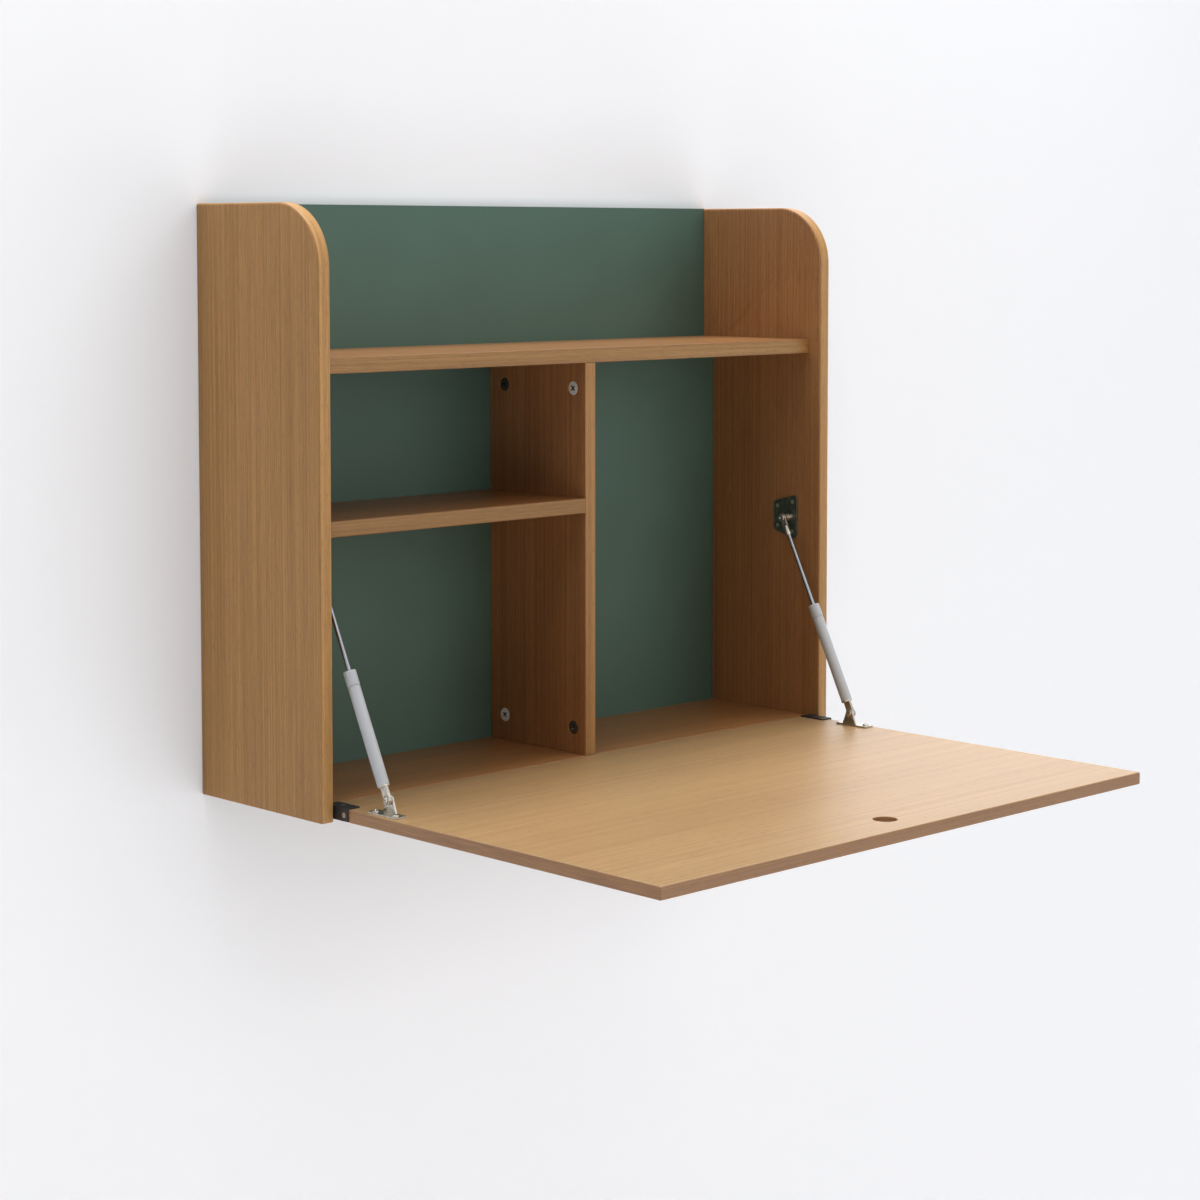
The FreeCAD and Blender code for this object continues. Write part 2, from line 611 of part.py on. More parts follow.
def add_boards():
    between = (f"-{INNER}", INNER)
    shelf = plain_board("upper_shelf", between, (INSIDE, "0"), (UPPER_UNDER, UPPER_TOP))
    finish("upper_shelf", cut(shelf, *UPPER_JOINTS[-1].joined_bores(), *UPPER_JOINTS[1].joined_bores(),
                              *PARTITION_JOINTS[1].receiving_bores()))
    floor = plain_board("bottom_panel", between, (INSIDE, "0"), (FOOT, FLOOR_TOP))
    finish("bottom_panel", cut(floor, *FLOOR_JOINTS[-1].joined_bores(), *FLOOR_JOINTS[1].joined_bores(),
                               *PARTITION_JOINTS[-1].receiving_bores()))
    short = plain_board("lower_shelf", (f"-{INNER}", "partition_place"), (INSIDE, LOWER_BACK_FACE),
                        (LOWER_UNDER, LOWER_TOP))
    finish("lower_shelf", cut(short, *LOWER_JOINTS[-1].joined_bores(), *LOWER_JOINTS[1].joined_bores()))
    upright = plain_board("partition", ("partition_place", PARTITION_RIGHT), (INSIDE, LOWER_BACK_FACE),
                          (FLOOR_TOP, UPPER_UNDER))
    finish("partition", cut(upright, *PARTITION_JOINTS[-1].joined_bores(),
                            *PARTITION_JOINTS[1].joined_bores(), *LOWER_JOINTS[1].receiving_bores()))


def add_back_panels():
    upper = slab((f"-{INNER}", INNER), ("-upper_back_board", "0"), (UPPER_TOP, HEAD))
    bores = [end_dowel_bore(sign, spot, "back_dowel_radius") for name, sign in SIDES for spot in BACK_DOWELS]
    finish("upper_back_panel", cut(upper, *bores))
    reach = f"({INNER} + groove_depth - groove_play)"
    finish("lower_back_panel", slab((f"-{reach}", reach), (LOWER_BACK_FACE, LOWER_BACK_REAR),
                                    (FLOOR_TOP, UPPER_UNDER)))


def add_cleats():
    """Two battens with matching 45 degree bevels. The cabinet's hooks behind the one on the wall."""
    upper = new_body("cabinet_cleat_batten", x=f"-{INNER}", y="-cleat_board")
    profile = outline(upper, "YZ_Plane", (
        ("0", "cleat_rise"), ("cleat_board", CLEAT_SEAT), ("cleat_board", UPPER_UNDER),
        ("0", UPPER_UNDER)))
    pad(upper, profile, f"2 * {INNER}")
    bores = [end_dowel_bore(sign, spot, "dowel_radius") for name, sign in SIDES for spot in CLEAT_DOWELS]
    finish("cabinet_cleat", cut(upper, *bores))
    lower = new_body("wall_cleat_batten", x=f"-{CLEAT_HALF}", y="-cleat_board", z="-cleat_drop")
    rise = "(cleat_drop + cleat_rise)"
    profile = outline(lower, "YZ_Plane", (
        ("0", "0"), ("cleat_board", "0"), ("cleat_board", f"{rise} - cleat_board"), ("0", rise)))
    pad(lower, profile, f"2 * {CLEAT_HALF}")
    holes = []
    sink = "(wall_sink_radius - wall_hole_radius)"
    for place in WALL_HOLES:
        for sign in (-1, 1):
            centre = (f"{sign} * {place}", "0")
            holes.append(bar("y", ("-cleat_board - cut_past", "cut_past"), centre, "wall_hole_radius"))
            holes.append(taper("y", ("-cleat_board", f"-cleat_board + {sink}"), centre,
                               "wall_sink_radius", "wall_hole_radius"))
    finish("wall_cleat", cut(lower, *holes))


# The flap and its hinges

HINGE_REAR = f"({FLAP_BACK} - hinge_start)"
HINGE_FRONT = f"({HINGE_REAR} - hinge_length)"
HINGE_SIDE_SCREW = (f"({HINGE_FRONT} + hinge_side_screw_edge)", f"({FLAP_TOP} - hinge_side_height / 2)")
BRACKET_SCREW_ROWS = (
    f"({LOWER_PIVOT_Y} - bracket_ahead + bracket_screw_edge)",
    f"({LOWER_PIVOT_Y} + bracket_behind - bracket_screw_edge)",
)
EAR_FAR = "(strut_inset + tongue_thick / 2 + side_clear + bracket_sheet)"
BRACKET_NEAR = f"({EAR_FAR} - bracket_width)"


def flap_edge(sign):
    return f"({sign} * {FLAP_HALF})"


def hinge_top_screw(sign):
    """X and Y of the screw in a hinge bracket's top flange."""
    return f"({flap_edge(sign)} - {sign} * hinge_top_width / 2)", f"({HINGE_FRONT} + hinge_top_screw_edge)"


def bracket_screw_spots(sign):
    place = f"({inner_face(sign)} - {sign} * ({BRACKET_NEAR} + bracket_screw_inset))"
    return [(place, row) for row in BRACKET_SCREW_ROWS]


def add_flap_panel():
    body = new_body("flap_board_blank", x=f"-{FLAP_HALF}", y=FLAP_FRONT, z=FLAP_UNDER)
    breadth = f"(2 * {FLAP_HALF})"
    corners = (("0", "0"), (breadth, "0"), (breadth, "flap_length"), ("0", "flap_length"))
    pad(body, outline(body, "XY_Plane", corners), "flap_board")
    round_edges(body, "flap_round", lambda edge: True)
    hole = bar("z", (f"{FLAP_UNDER} - cut_past", f"{FLAP_TOP} + cut_past"),
               ("finger_place", f"{FLAP_FRONT} + finger_edge"), "finger_radius")
    tools = [hole]
    for name, sign in SIDES:
        edge = flap_edge(sign)
        tools.append(bar("x", stretch(edge, -sign, "0", "hinge_head_thick + hinge_head_room"),
                         (HINGE_Y, HINGE_Z), "hinge_head_radius + hinge_head_room"))
        tools.append(pilot("x", sign, edge, HINGE_SIDE_SCREW, "small_shank_radius"))
        tools.append(pilot("z", 1, FLAP_TOP, hinge_top_screw(sign), "small_shank_radius"))
        tools += [pilot("z", 1, FLAP_TOP, spot, "pan_shank_radius") for spot in bracket_screw_spots(sign)]
    finish("flap_panel", cut(body, *tools))


def add_hinge(name, sign):
    """A steel angle on the flap's rear corner, its pin, its screws and the bush in the side."""
    edge = flap_edge(sign)
    face = inner_face(sign)
    rows = (HINGE_FRONT, HINGE_REAR)
    top = slab(stretch(edge, -sign, "-hinge_sheet", "hinge_top_width"), rows,
               (FLAP_TOP, f"{FLAP_TOP} + hinge_sheet"))
    side = slab(stretch(edge, sign, "0", "hinge_sheet"), rows,
                (f"{FLAP_TOP} - hinge_side_height", f"{FLAP_TOP} + hinge_sheet"))
    pin_hole = bar("x", stretch(edge, sign, "-cut_past", "hinge_sheet + cut_past"), (HINGE_Y, HINGE_Z),
                   "hinge_pin_radius + fit_play")
    side_hole = bar("x", stretch(edge, sign, "-cut_past", "hinge_sheet + cut_past"), HINGE_SIDE_SCREW,
                    "small_head_radius + fit_play")
    top_hole = bar("z", (f"{FLAP_TOP} - cut_past", f"{FLAP_TOP} + hinge_sheet + cut_past"),
                   hinge_top_screw(sign), "small_head_radius + fit_play")
    finish(f"{name}_hinge_bracket", cut(fuse(top, side), pin_hole, side_hole, top_hole))
    pin = bar("x", stretch(edge, sign, "0", f"{FLAP_SIDE_GAP} + hinge_pin_depth"), (HINGE_Y, HINGE_Z),
              "hinge_pin_radius")
    head = bar("x", stretch(edge, -sign, "0", "hinge_head_thick"), (HINGE_Y, HINGE_Z), "hinge_head_radius")
    finish(f"{name}_hinge_pin", fuse(pin, head))
    finish(f"{name}_hinge_screws",
           screw("x", sign, edge, HINGE_SIDE_SCREW, "small_head_radius", "hinge_sheet",
                 "small_shank_radius"),
           screw("z", 1, FLAP_TOP, hinge_top_screw(sign), "small_head_radius", "hinge_sheet",
                 "small_shank_radius"))
    sleeve = bar("x", stretch(face, sign, "0", "bush_length"), (HINGE_Y, HINGE_Z), "bush_radius")
    bore = bar("x", stretch(face, sign, "-cut_past", "hinge_pin_depth + bore_play"), (HINGE_Y, HINGE_Z),
               "hinge_pin_radius + fit_play")
    finish(f"{name}_hinge_bush", cut(sleeve, bore))


# The struts' fixings

def add_strut_bracket(name, sign):
    """A base plate on the flap with an ear bent up from its inner edge, and the pivot screw in the ear."""
    face = inner_face(sign)
    pivot = (LOWER_PIVOT_Y, LOWER_PIVOT_Z)
    plate_top = f"{FLAP_TOP} + bracket_sheet"
    plate = slab(stretch(face, -sign, BRACKET_NEAR, EAR_FAR),
                 (f"{LOWER_PIVOT_Y} - bracket_ahead", f"{LOWER_PIVOT_Y} + bracket_behind"),
                 (FLAP_TOP, plate_top))
    ear_low, ear_high = stretch(face, -sign, f"{EAR_FAR} - bracket_sheet", EAR_FAR)
    ear = new_body(f"{name}_ear", x=ear_low, y=LOWER_PIVOT_Y, z=FLAP_TOP)
    profile = outline(ear, "YZ_Plane", (
        ("-ear_base / 2", "0"), ("ear_base / 2", "0"),
        ("ear_radius", "strut_foot_up"), ("-ear_radius", "strut_foot_up")))
    pad(ear, profile, "bracket_sheet")
    crown = bar("x", (ear_low, ear_high), pivot, "ear_radius")
    hole = bar("x", (f"{ear_low} - cut_past", f"{ear_high} + cut_past"), pivot, "pivot_radius + fit_play")
    through = (f"{FLAP_TOP} - cut_past", f"{plate_top} + cut_past")
    spots = bracket_screw_spots(sign)
    screw_holes = [bar("z", through, spot, "pan_shank_radius + fit_play") for spot in spots]
    finish(f"{name}_strut_bracket", cut(fuse(plate, ear, crown), hole, *screw_holes))
    finish(f"{name}_strut_bracket_screws",
           *[screw("z", 1, f"({plate_top})", spot, "pan_head_radius", "pan_head_thick", "pan_shank_radius")
             for spot in spots])
    tongue_near = "(strut_inset - tongue_thick / 2)"
    seat = f"({tongue_near} - side_clear)"
    shank = bar("x", stretch(face, -sign, seat, EAR_FAR), pivot, "pivot_radius")
    head = bar("x", stretch(face, -sign, f"{seat} - pivot_head_thick", seat), pivot, "pivot_head_radius")
    tail = bar("x", stretch(face, -sign, EAR_FAR, f"{EAR_FAR} + pivot_tail_thick"), pivot,
               "pivot_tail_radius")
    top = f"({face} - {sign} * ({seat} - pivot_head_thick))"
    recess = cross_recess("x", sign, top, pivot, "pivot_head_radius - pivot_slot_margin", "pivot_slot_width",
                          "pivot_slot_depth")
    finish(f"{name}_pivot_screw", cut(fuse(shank, head, tail), *recess))


def add_strut_plate(name, sign):
    """A steel plate on the side's inner face, taller in front, with four flush screws."""
    face = inner_face(sign)
    low, high = stretch(face, -sign, "0", "plate_sheet")
    body = new_body(f"{name}_plate_blank", x=low, y=PLATE_FRONT, z=PLATE_MIDDLE)
    profile = outline(body, "YZ_Plane", (
        ("0", "-plate_front_half"), ("plate_width", "-plate_back_half"),
        ("plate_width", "plate_back_half"), ("0", "plate_front_half")))
    pad(body, profile, "plate_sheet")
    round_edges(body, "plate_corner", lambda edge: runs_along(edge, Vector(1, 0, 0)))
    spots = plate_screw_spots()
    through = (f"{low} - cut_past", f"{high} + cut_past")
    holes = [bar("x", through, spot, "small_head_radius + fit_play") for spot in spots]
    finish(f"{name}_strut_plate", cut(body, *holes))
    finish(f"{name}_strut_plate_screws",
           *[screw("x", -sign, face, spot, "small_head_radius", "plate_sheet", "small_shank_radius")
             for spot in spots])


# The struts. Each piece is built upright on its lower pivot, then leant back along the strut's line.

def lean(piece, sign):
    piece.Placement = Placement(Vector(), Rotation(Vector(-1, 0, 0), 1))
    bind(piece, "Placement.Rotation.Angle", f"atan2({STRUT_RUN}; {STRUT_RISE})")
    bind(piece, "Placement.Base.x", f"{inner_face(sign)} - {sign} * strut_inset")
    bind(piece, "Placement.Base.y", LOWER_PIVOT_Y)
    bind(piece, "Placement.Base.z", LOWER_PIVOT_Z)
    return piece


def on_axis(low, high, radius):
    return bar("z", (low, high), ("0", "0"), radius)


def flat_link(thick, half, low, high):
    """A flat strip on the strut's axis."""
    return slab((f"-{thick} / 2", f"{thick} / 2"), (f"-{half}", half), (low, high))


def across(place, thick, radius):
    """A round disc or bore across the strut's axis."""
    return bar("x", (f"-{thick} / 2", f"{thick} / 2"), ("0", place), radius)


def add_tube(name, sign):
    tube = cut(on_axis("tube_start", TUBE_TOP, "tube_radius"),
               on_axis("tube_start - cut_past", f"{TUBE_TOP} + cut_past", TUBE_BORE))
    finish(f"{name}_strut_tube", lean(tube, sign))
    gland = cut(fuse(on_axis(TUBE_TOP, f"{TUBE_TOP} + gland_length", "tube_radius + gland_step"),
                     on_axis(f"{TUBE_TOP} - gland_spigot", TUBE_TOP, f"{TUBE_BORE} - fit_play")),
                on_axis(f"{TUBE_TOP} - gland_spigot - cut_past", f"{TUBE_TOP} + gland_length + cut_past",
                        "rod_radius + fit_play"))
    finish(f"{name}_strut_gland", lean(gland, sign))
    tongue = cut(fuse(across("0", "tongue_thick", "tongue_half"),
                      flat_link("tongue_thick", "tongue_half", "0", "tube_start - tongue_cap"),
                      on_axis("tube_start - tongue_cap", "tube_start", "tube_radius"),
                      on_axis("tube_start", "tube_start + tongue_plug", f"{TUBE_BORE} - fit_play")),
                 across("0", "(tongue_thick + cut_past)", "pivot_radius + fit_play"))
    finish(f"{name}_strut_tongue", lean(tongue, sign))


def add_rod(name, sign):
    piston_foot = f"({PISTON_TOP} - piston_thick)"
    thread_end = f"({EYE_FOOT} + rod_thread_length)"
    rod = fuse(on_axis(piston_foot, EYE_FOOT, "rod_radius"),
               on_axis(EYE_FOOT, thread_end, "rod_thread_radius"))
    finish(f"{name}_strut_rod", lean(rod, sign))
    piston = cut(on_axis(piston_foot, PISTON_TOP, f"{TUBE_BORE} - fit_play"),
                 on_axis(f"{piston_foot} - cut_past", f"{PISTON_TOP} + cut_past", "rod_radius + fit_play"))
    finish(f"{name}_strut_piston", lean(piston, sign))
    socket_top = f"({EYE_FOOT} + eye_socket_length)"
    eye = cut(fuse(across(STRUT_LENGTH, "eye_thick", "eye_radius"),
                   flat_link("eye_thick", "eye_socket_radius", socket_top, STRUT_LENGTH),
                   on_axis(EYE_FOOT, socket_top, "eye_socket_radius")),
              on_axis(f"{EYE_FOOT} - cut_past", f"{thread_end} + bore_play", "rod_thread_radius + fit_play"),
              across(STRUT_LENGTH, "(eye_thick + cut_past)", "stud_radius + fit_play"))
    finish(f"{name}_rod_eye", lean(eye, sign))


def add_stud(name, sign):
    """A stud that reaches from just off the side plate through the rod eye, with a round nut on its end."""
    face = inner_face(sign)
    pivot = (UPPER_PIVOT_Y, UPPER_PIVOT_Z)
    foot = "(plate_sheet + side_clear)"
    eye_near = "(strut_inset - eye_thick / 2)"
    eye_far = "(strut_inset + eye_thick / 2)"
    collar_top = f"({foot} + stud_collar_thick)"
    collar = bar("x", stretch(face, -sign, foot, collar_top), pivot, "stud_collar_radius")
    shaft = bar("x", stretch(face, -sign, collar_top, eye_near), pivot, "stud_body_radius")
    journal = bar("x", stretch(face, -sign, eye_near, eye_far), pivot, "stud_radius")
    nut = bar("x", stretch(face, -sign, eye_far, f"{eye_far} + stud_nut_thick"), pivot, "stud_nut_radius")
    top = f"({face} - {sign} * ({eye_far} + stud_nut_thick))"
    recess = cross_recess("x", -sign, top, pivot, "stud_nut_radius - pivot_slot_margin", "pivot_slot_width",
                          "pivot_slot_depth")
    finish(f"{name}_strut_stud", cut(fuse(collar, shaft, journal, nut), *recess))


# The desk

for name, sign in SIDES:
    add_side_panel(name, sign)
add_boards()
add_back_panels()
add_cleats()
add_joinery()
add_end_dowels()
add_flap_panel()
for name, sign in SIDES:
    add_hinge(name, sign)
    add_strut_bracket(name, sign)
    add_strut_plate(name, sign)
    add_tube(name, sign)
    add_rod(name, sign)
    add_stud(name, sign)

doc.recompute()
for item in doc.Objects:
    if "Invalid" in item.State or "Error" in item.State:
        raise RuntimeError(f"{item.Name} failed: {item.State}")
for piece in parts:
    if piece.Shape.isNull() or not piece.Shape.isValid() or not piece.Shape.Solids:
        raise RuntimeError(f"{piece.Label} has no valid solid")

os.makedirs("parts", exist_ok=True)
for piece in parts:
    piece.Shape.exportStep(f"parts/{piece.Label}.step")
print(len(parts), "parts written")
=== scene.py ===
"""Looks of the fold down wall desk: oak veneer, green lacquer, plated steel, and the fittings' finer shapes."""
import json
import math

import bmesh
import bpy
from mathutils import Matrix, Vector


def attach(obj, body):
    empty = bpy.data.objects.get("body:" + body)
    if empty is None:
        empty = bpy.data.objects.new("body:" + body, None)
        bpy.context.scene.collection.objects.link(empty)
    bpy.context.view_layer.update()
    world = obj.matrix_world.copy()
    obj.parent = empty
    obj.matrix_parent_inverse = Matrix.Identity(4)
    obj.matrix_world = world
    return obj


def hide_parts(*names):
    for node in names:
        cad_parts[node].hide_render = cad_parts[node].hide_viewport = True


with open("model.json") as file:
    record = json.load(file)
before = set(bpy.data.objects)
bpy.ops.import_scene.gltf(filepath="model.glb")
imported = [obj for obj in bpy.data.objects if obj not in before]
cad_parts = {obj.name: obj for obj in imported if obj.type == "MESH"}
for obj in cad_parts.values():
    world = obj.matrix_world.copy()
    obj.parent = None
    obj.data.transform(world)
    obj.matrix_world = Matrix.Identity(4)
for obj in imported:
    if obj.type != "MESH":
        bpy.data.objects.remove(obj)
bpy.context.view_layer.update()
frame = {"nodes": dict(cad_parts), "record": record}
nodes = frame["nodes"]
MM = 0.001


# Materials

def linear(hex_colour):
    """An sRGB hex colour as linear red, green, blue and alpha."""
    channels = [int(hex_colour[place:place + 2], 16) / 255 for place in (1, 3, 5)]
    return [c / 12.92 if c <= 0.04045 else ((c + 0.055) / 1.055) ** 2.4 for c in channels] + [1.0]


def new_material(name):
    """An empty material and its node tree."""
    material = bpy.data.materials.new(name)
    material.use_nodes = True
    material.node_tree.nodes.clear()
    return material, material.node_tree


def add(tree, kind, settings=None, links=None):
    """Adds a node, with its properties or input values from settings and its inputs linked from links."""
    node = tree.nodes.new("ShaderNode" + kind)
    for key, value in (settings or {}).items():
        if key == "ramp":
            stops = node.color_ramp.elements
            while len(stops) < len(value):
                stops.new(0.5)
            for stop, (place, colour) in zip(stops, value):
                stop.position = place
                stop.color = linear(colour)
        elif isinstance(key, str) and key in node.bl_rna.properties:
            setattr(node, key, value)
        else:
            node.inputs[key].default_value = value
    for key, source in (links or {}).items():
        tree.links.new(source, node.inputs[key])
    return node


X, Z = 0, 2
VECTOR_A, VECTOR_B, COLOUR_A, COLOUR_B = 4, 5, 6, 7
VECTOR_OUT, COLOUR_OUT = 1, 2
DASH_WIDTH, DASH_RUN = 1.2 * MM, 26 * MM
LINE_WIDTH, LINE_RUN = 2.0 * MM, 420 * MM
CLOUD_WIDTH, CLOUD_RUN = 50 * MM, 400 * MM
PORE_WIDTH, PORE_RUN = 0.9 * MM, 8 * MM
CLOUD_SHARE, LINE_SHARE, DASH_SHARE = 0.15, 0.5, 0.35
DARK_AT, LIGHT_AT = 0.36, 0.64
PORE_FROM, PORE_FULL = 0.6, 0.76
PORE_TONE, PORE_DEPTH, SEAM_DEPTH = "#5f4027", 0.35, 0.3
EDGE_BELOW = 0.6  # an edge looks along the thickness by less than this, as a cosine
SEAM_AT, SEAM_REACH = 0.66, 0.1
PORE_SINK, RELIEF, RELIEF_DEPTH = -0.6, 0.12, 0.15 * MM


def oak_veneer(name, grain, thick, shift, coarse, face_tones, back_tones, edge_tones, roughness, ior=1.5):
    """Sliced oak under satin varnish: close dashes and thin lines along a straight grain, short open pores, and
    slow changes of tone. The dashes are a little coarser than real ones, so that they show, and on the flap, which
    is seen at a low angle, they are coarser again. The edges carry a glued band of the same oak whose grain runs
    along the edge, with a thin line where it meets the face. Grain and thick are the board's axes, and shift moves
    the pattern. The face looks along the thick axis, and the back against it.
    """
    material, tree = new_material(name)
    place = add(tree, "TexCoord")
    turn = (0, 0, 0) if grain == Z else (0, -math.pi / 2, 0)
    face_scale = [1 / (DASH_WIDTH * coarse)] * 3
    face_scale[grain] = 1 / (DASH_RUN * coarse)
    edge_scale = [1 / DASH_RUN] * 3
    edge_scale[thick] = 1 / DASH_WIDTH
    face = add(tree, "Mapping", {"Scale": face_scale, "Rotation": turn, "Location": shift},
               {"Vector": place.outputs["Object"]})
    edge = add(tree, "Mapping", {"Scale": edge_scale, "Rotation": turn, "Location": shift},
               {"Vector": place.outputs["Object"]})
    normal = add(tree, "SeparateXYZ", None, {0: place.outputs["Normal"]})
    facing = add(tree, "Math", {"operation": "ABSOLUTE"}, {0: normal.outputs[thick]})
    on_edge = add(tree, "Math", {"operation": "LESS_THAN", 1: EDGE_BELOW}, {0: facing.outputs[0]})
    spot = add(tree, "Mix", {"data_type": "VECTOR"},
               {0: on_edge.outputs[0], VECTOR_A: face.outputs[0], VECTOR_B: edge.outputs[0]}).outputs[VECTOR_OUT]
    dashes = add(tree, "TexNoise", {"Scale": 1, "Detail": 2, "Roughness": 0.6}, {"Vector": spot})
    across = DASH_WIDTH / LINE_WIDTH
    line_spot = add(tree, "Mapping", {"Scale": (across, across, DASH_RUN / LINE_RUN)}, {"Vector": spot})
    lines = add(tree, "TexNoise", {"Scale": 1, "Detail": 2}, {"Vector": line_spot.outputs[0]})
    across = DASH_WIDTH / CLOUD_WIDTH
    cloud_spot = add(tree, "Mapping", {"Scale": (across, across, DASH_RUN / CLOUD_RUN)}, {"Vector": spot})
    clouds = add(tree, "TexNoise", {"Scale": 1, "Detail": 1}, {"Vector": cloud_spot.outputs[0]})
    across = DASH_WIDTH / PORE_WIDTH
    pore_spot = add(tree, "Mapping", {"Scale": (across, across, DASH_RUN / PORE_RUN)}, {"Vector": spot})
    pores = add(tree, "TexNoise", {"Scale": 1, "Detail": 1}, {"Vector": pore_spot.outputs[0]})
    pore = add(tree, "MapRange", {"From Min": PORE_FROM, "From Max": PORE_FULL}, {"Value": pores.outputs[0]})
    tone = add(tree, "Math", {"operation": "MULTIPLY", 1: CLOUD_SHARE}, {0: clouds.outputs[0]})
    tone = add(tree, "Math", {"operation": "MULTIPLY_ADD", 1: LINE_SHARE},
               {0: lines.outputs[0], 2: tone.outputs[0]})
    tone = add(tree, "Math", {"operation": "MULTIPLY_ADD", 1: DASH_SHARE},
               {0: dashes.outputs[0], 2: tone.outputs[0]})
    # Face and back may take different tones: the darker, redder inner faces of the sides and the floor board's
    # redder top are painted shade.
    on_back = add(tree, "Math", {"operation": "LESS_THAN", 1: 0.0}, {0: normal.outputs[thick]})
    face_wood = add(tree, "ValToRGB", {"ramp": [(DARK_AT, face_tones[1]), (LIGHT_AT, face_tones[0])]},
                    {0: tone.outputs[0]})
    back_wood = add(tree, "ValToRGB", {"ramp": [(DARK_AT, back_tones[1]), (LIGHT_AT, back_tones[0])]},
                    {0: tone.outputs[0]})
    flat_wood = add(tree, "Mix", {"data_type": "RGBA"},
                    {0: on_back.outputs[0], COLOUR_A: face_wood.outputs[0], COLOUR_B: back_wood.outputs[0]})
    # The edge tones are painted light on the sides' front edges and painted shade on the flap's and the shelves'
    # edges.
    edge_wood = add(tree, "ValToRGB", {"ramp": [(DARK_AT, edge_tones[1]), (LIGHT_AT, edge_tones[0])]},
                    {0: tone.outputs[0]})
    wood = add(tree, "Mix", {"data_type": "RGBA"},
               {0: on_edge.outputs[0], COLOUR_A: flat_wood.outputs[COLOUR_OUT],
                COLOUR_B: edge_wood.outputs[0]})
    seam = add(tree, "Math", {"operation": "COMPARE", 1: SEAM_AT, 2: SEAM_REACH}, {0: facing.outputs[0]})
    seam = add(tree, "Math", {"operation": "MULTIPLY", 1: SEAM_DEPTH}, {0: seam.outputs[0]})
    marks = add(tree, "Math", {"operation": "MULTIPLY_ADD", 1: PORE_DEPTH},
                {0: pore.outputs[0], 2: seam.outputs[0]})
    colour = add(tree, "Mix", {"data_type": "RGBA", COLOUR_B: linear(PORE_TONE)},
                 {0: marks.outputs[0], COLOUR_A: wood.outputs[COLOUR_OUT]})
    gloss = add(tree, "MapRange", {"To Min": roughness - 0.05, "To Max": roughness + 0.07},
                {"Value": dashes.outputs[0]})
    relief = add(tree, "Math", {"operation": "MULTIPLY_ADD", 1: PORE_SINK},
                 {0: pore.outputs[0], 2: dashes.outputs[0]})
    bump = add(tree, "Bump", {"Strength": RELIEF, "Distance": RELIEF_DEPTH}, {"Height": relief.outputs[0]})
    shader = add(tree, "BsdfPrincipled", {"IOR": ior},
                 {"Base Color": colour.outputs[COLOUR_OUT], "Roughness": gloss.outputs[0],
                  "Normal": bump.outputs[0]})
    add(tree, "OutputMaterial", None, {"Surface": shader.outputs[0]})
    return material


def green_lacquer():
    """Fibreboard sprayed with dark green lacquer: an even eggshell skin with faint orange peel and clouding."""
    material, tree = new_material("sprayed_green_lacquer")
    place = add(tree, "TexCoord").outputs["Object"]
    peel = add(tree, "TexNoise", {"Scale": 1 / (2.5 * MM), "Detail": 2}, {"Vector": place})
    cloud = add(tree, "TexNoise", {"Scale": 1 / (120 * MM), "Detail": 3}, {"Vector": place})
    colour = add(tree, "ValToRGB", {"ramp": [(0.3, "#4e6b5e"), (0.7, "#547366")]}, {0: cloud.outputs[0]})
    gloss = add(tree, "MapRange", {"To Min": 0.5, "To Max": 0.62}, {"Value": cloud.outputs[0]})
    bump = add(tree, "Bump", {"Strength": 0.08, "Distance": 0.1 * MM}, {"Height": peel.outputs[0]})
    shader = add(tree, "BsdfPrincipled", {"IOR": 1.48},
                 {"Base Color": colour.outputs[0], "Roughness": gloss.outputs[0], "Normal": bump.outputs[0]})
    add(tree, "OutputMaterial", None, {"Surface": shader.outputs[0]})
    return material


def plain_wood(name, light, dark, line_width):
    """Planed unvarnished softwood or beech, grain along X: pale bands of early wood, thin darker late wood."""
    material, tree = new_material(name)
    place = add(tree, "TexCoord").outputs["Object"]
    stretched = add(tree, "Mapping", {"Scale": (1 / (180 * MM), 1 / line_width, 1 / line_width)},
                    {"Vector": place})
    rings = add(tree, "TexNoise", {"Scale": 1, "Detail": 4, "Distortion": 0.6},
                {"Vector": stretched.outputs[0]})
    colour = add(tree, "ValToRGB", {"ramp": [(0.35, light), (0.65, dark)]}, {0: rings.outputs[0]})
    bump = add(tree, "Bump", {"Strength": 0.2, "Distance": 0.2 * MM}, {"Height": rings.outputs[0]})
    shader = add(tree, "BsdfPrincipled", {"Roughness": 0.75},
                 {"Base Color": colour.outputs[0], "Normal": bump.outputs[0]})
    add(tree, "OutputMaterial", None, {"Surface": shader.outputs[0]})
    return material


def plated_steel(name, light, dark, smooth, rough, patch):
    """Plated sheet or turned steel: bright, with soft patches where the plating is duller."""
    material, tree = new_material(name)
    place = add(tree, "TexCoord").outputs["Object"]
    mottle = add(tree, "TexNoise", {"Scale": 1 / patch, "Detail": 4}, {"Vector": place})
    grit = add(tree, "TexNoise", {"Scale": 1 / (0.5 * MM), "Detail": 2}, {"Vector": place})
    colour = add(tree, "ValToRGB", {"ramp": [(0.35, dark), (0.65, light)]}, {0: mottle.outputs[0]})
    gloss = add(tree, "MapRange", {"To Min": smooth, "To Max": rough}, {"Value": mottle.outputs[0]})
    bump = add(tree, "Bump", {"Strength": 0.05, "Distance": 0.05 * MM}, {"Height": grit.outputs[0]})
    shader = add(tree, "BsdfPrincipled", {"Metallic": 1.0},
                 {"Base Color": colour.outputs[0], "Roughness": gloss.outputs[0], "Normal": bump.outputs[0]})
    add(tree, "OutputMaterial", None, {"Surface": shader.outputs[0]})
    return material


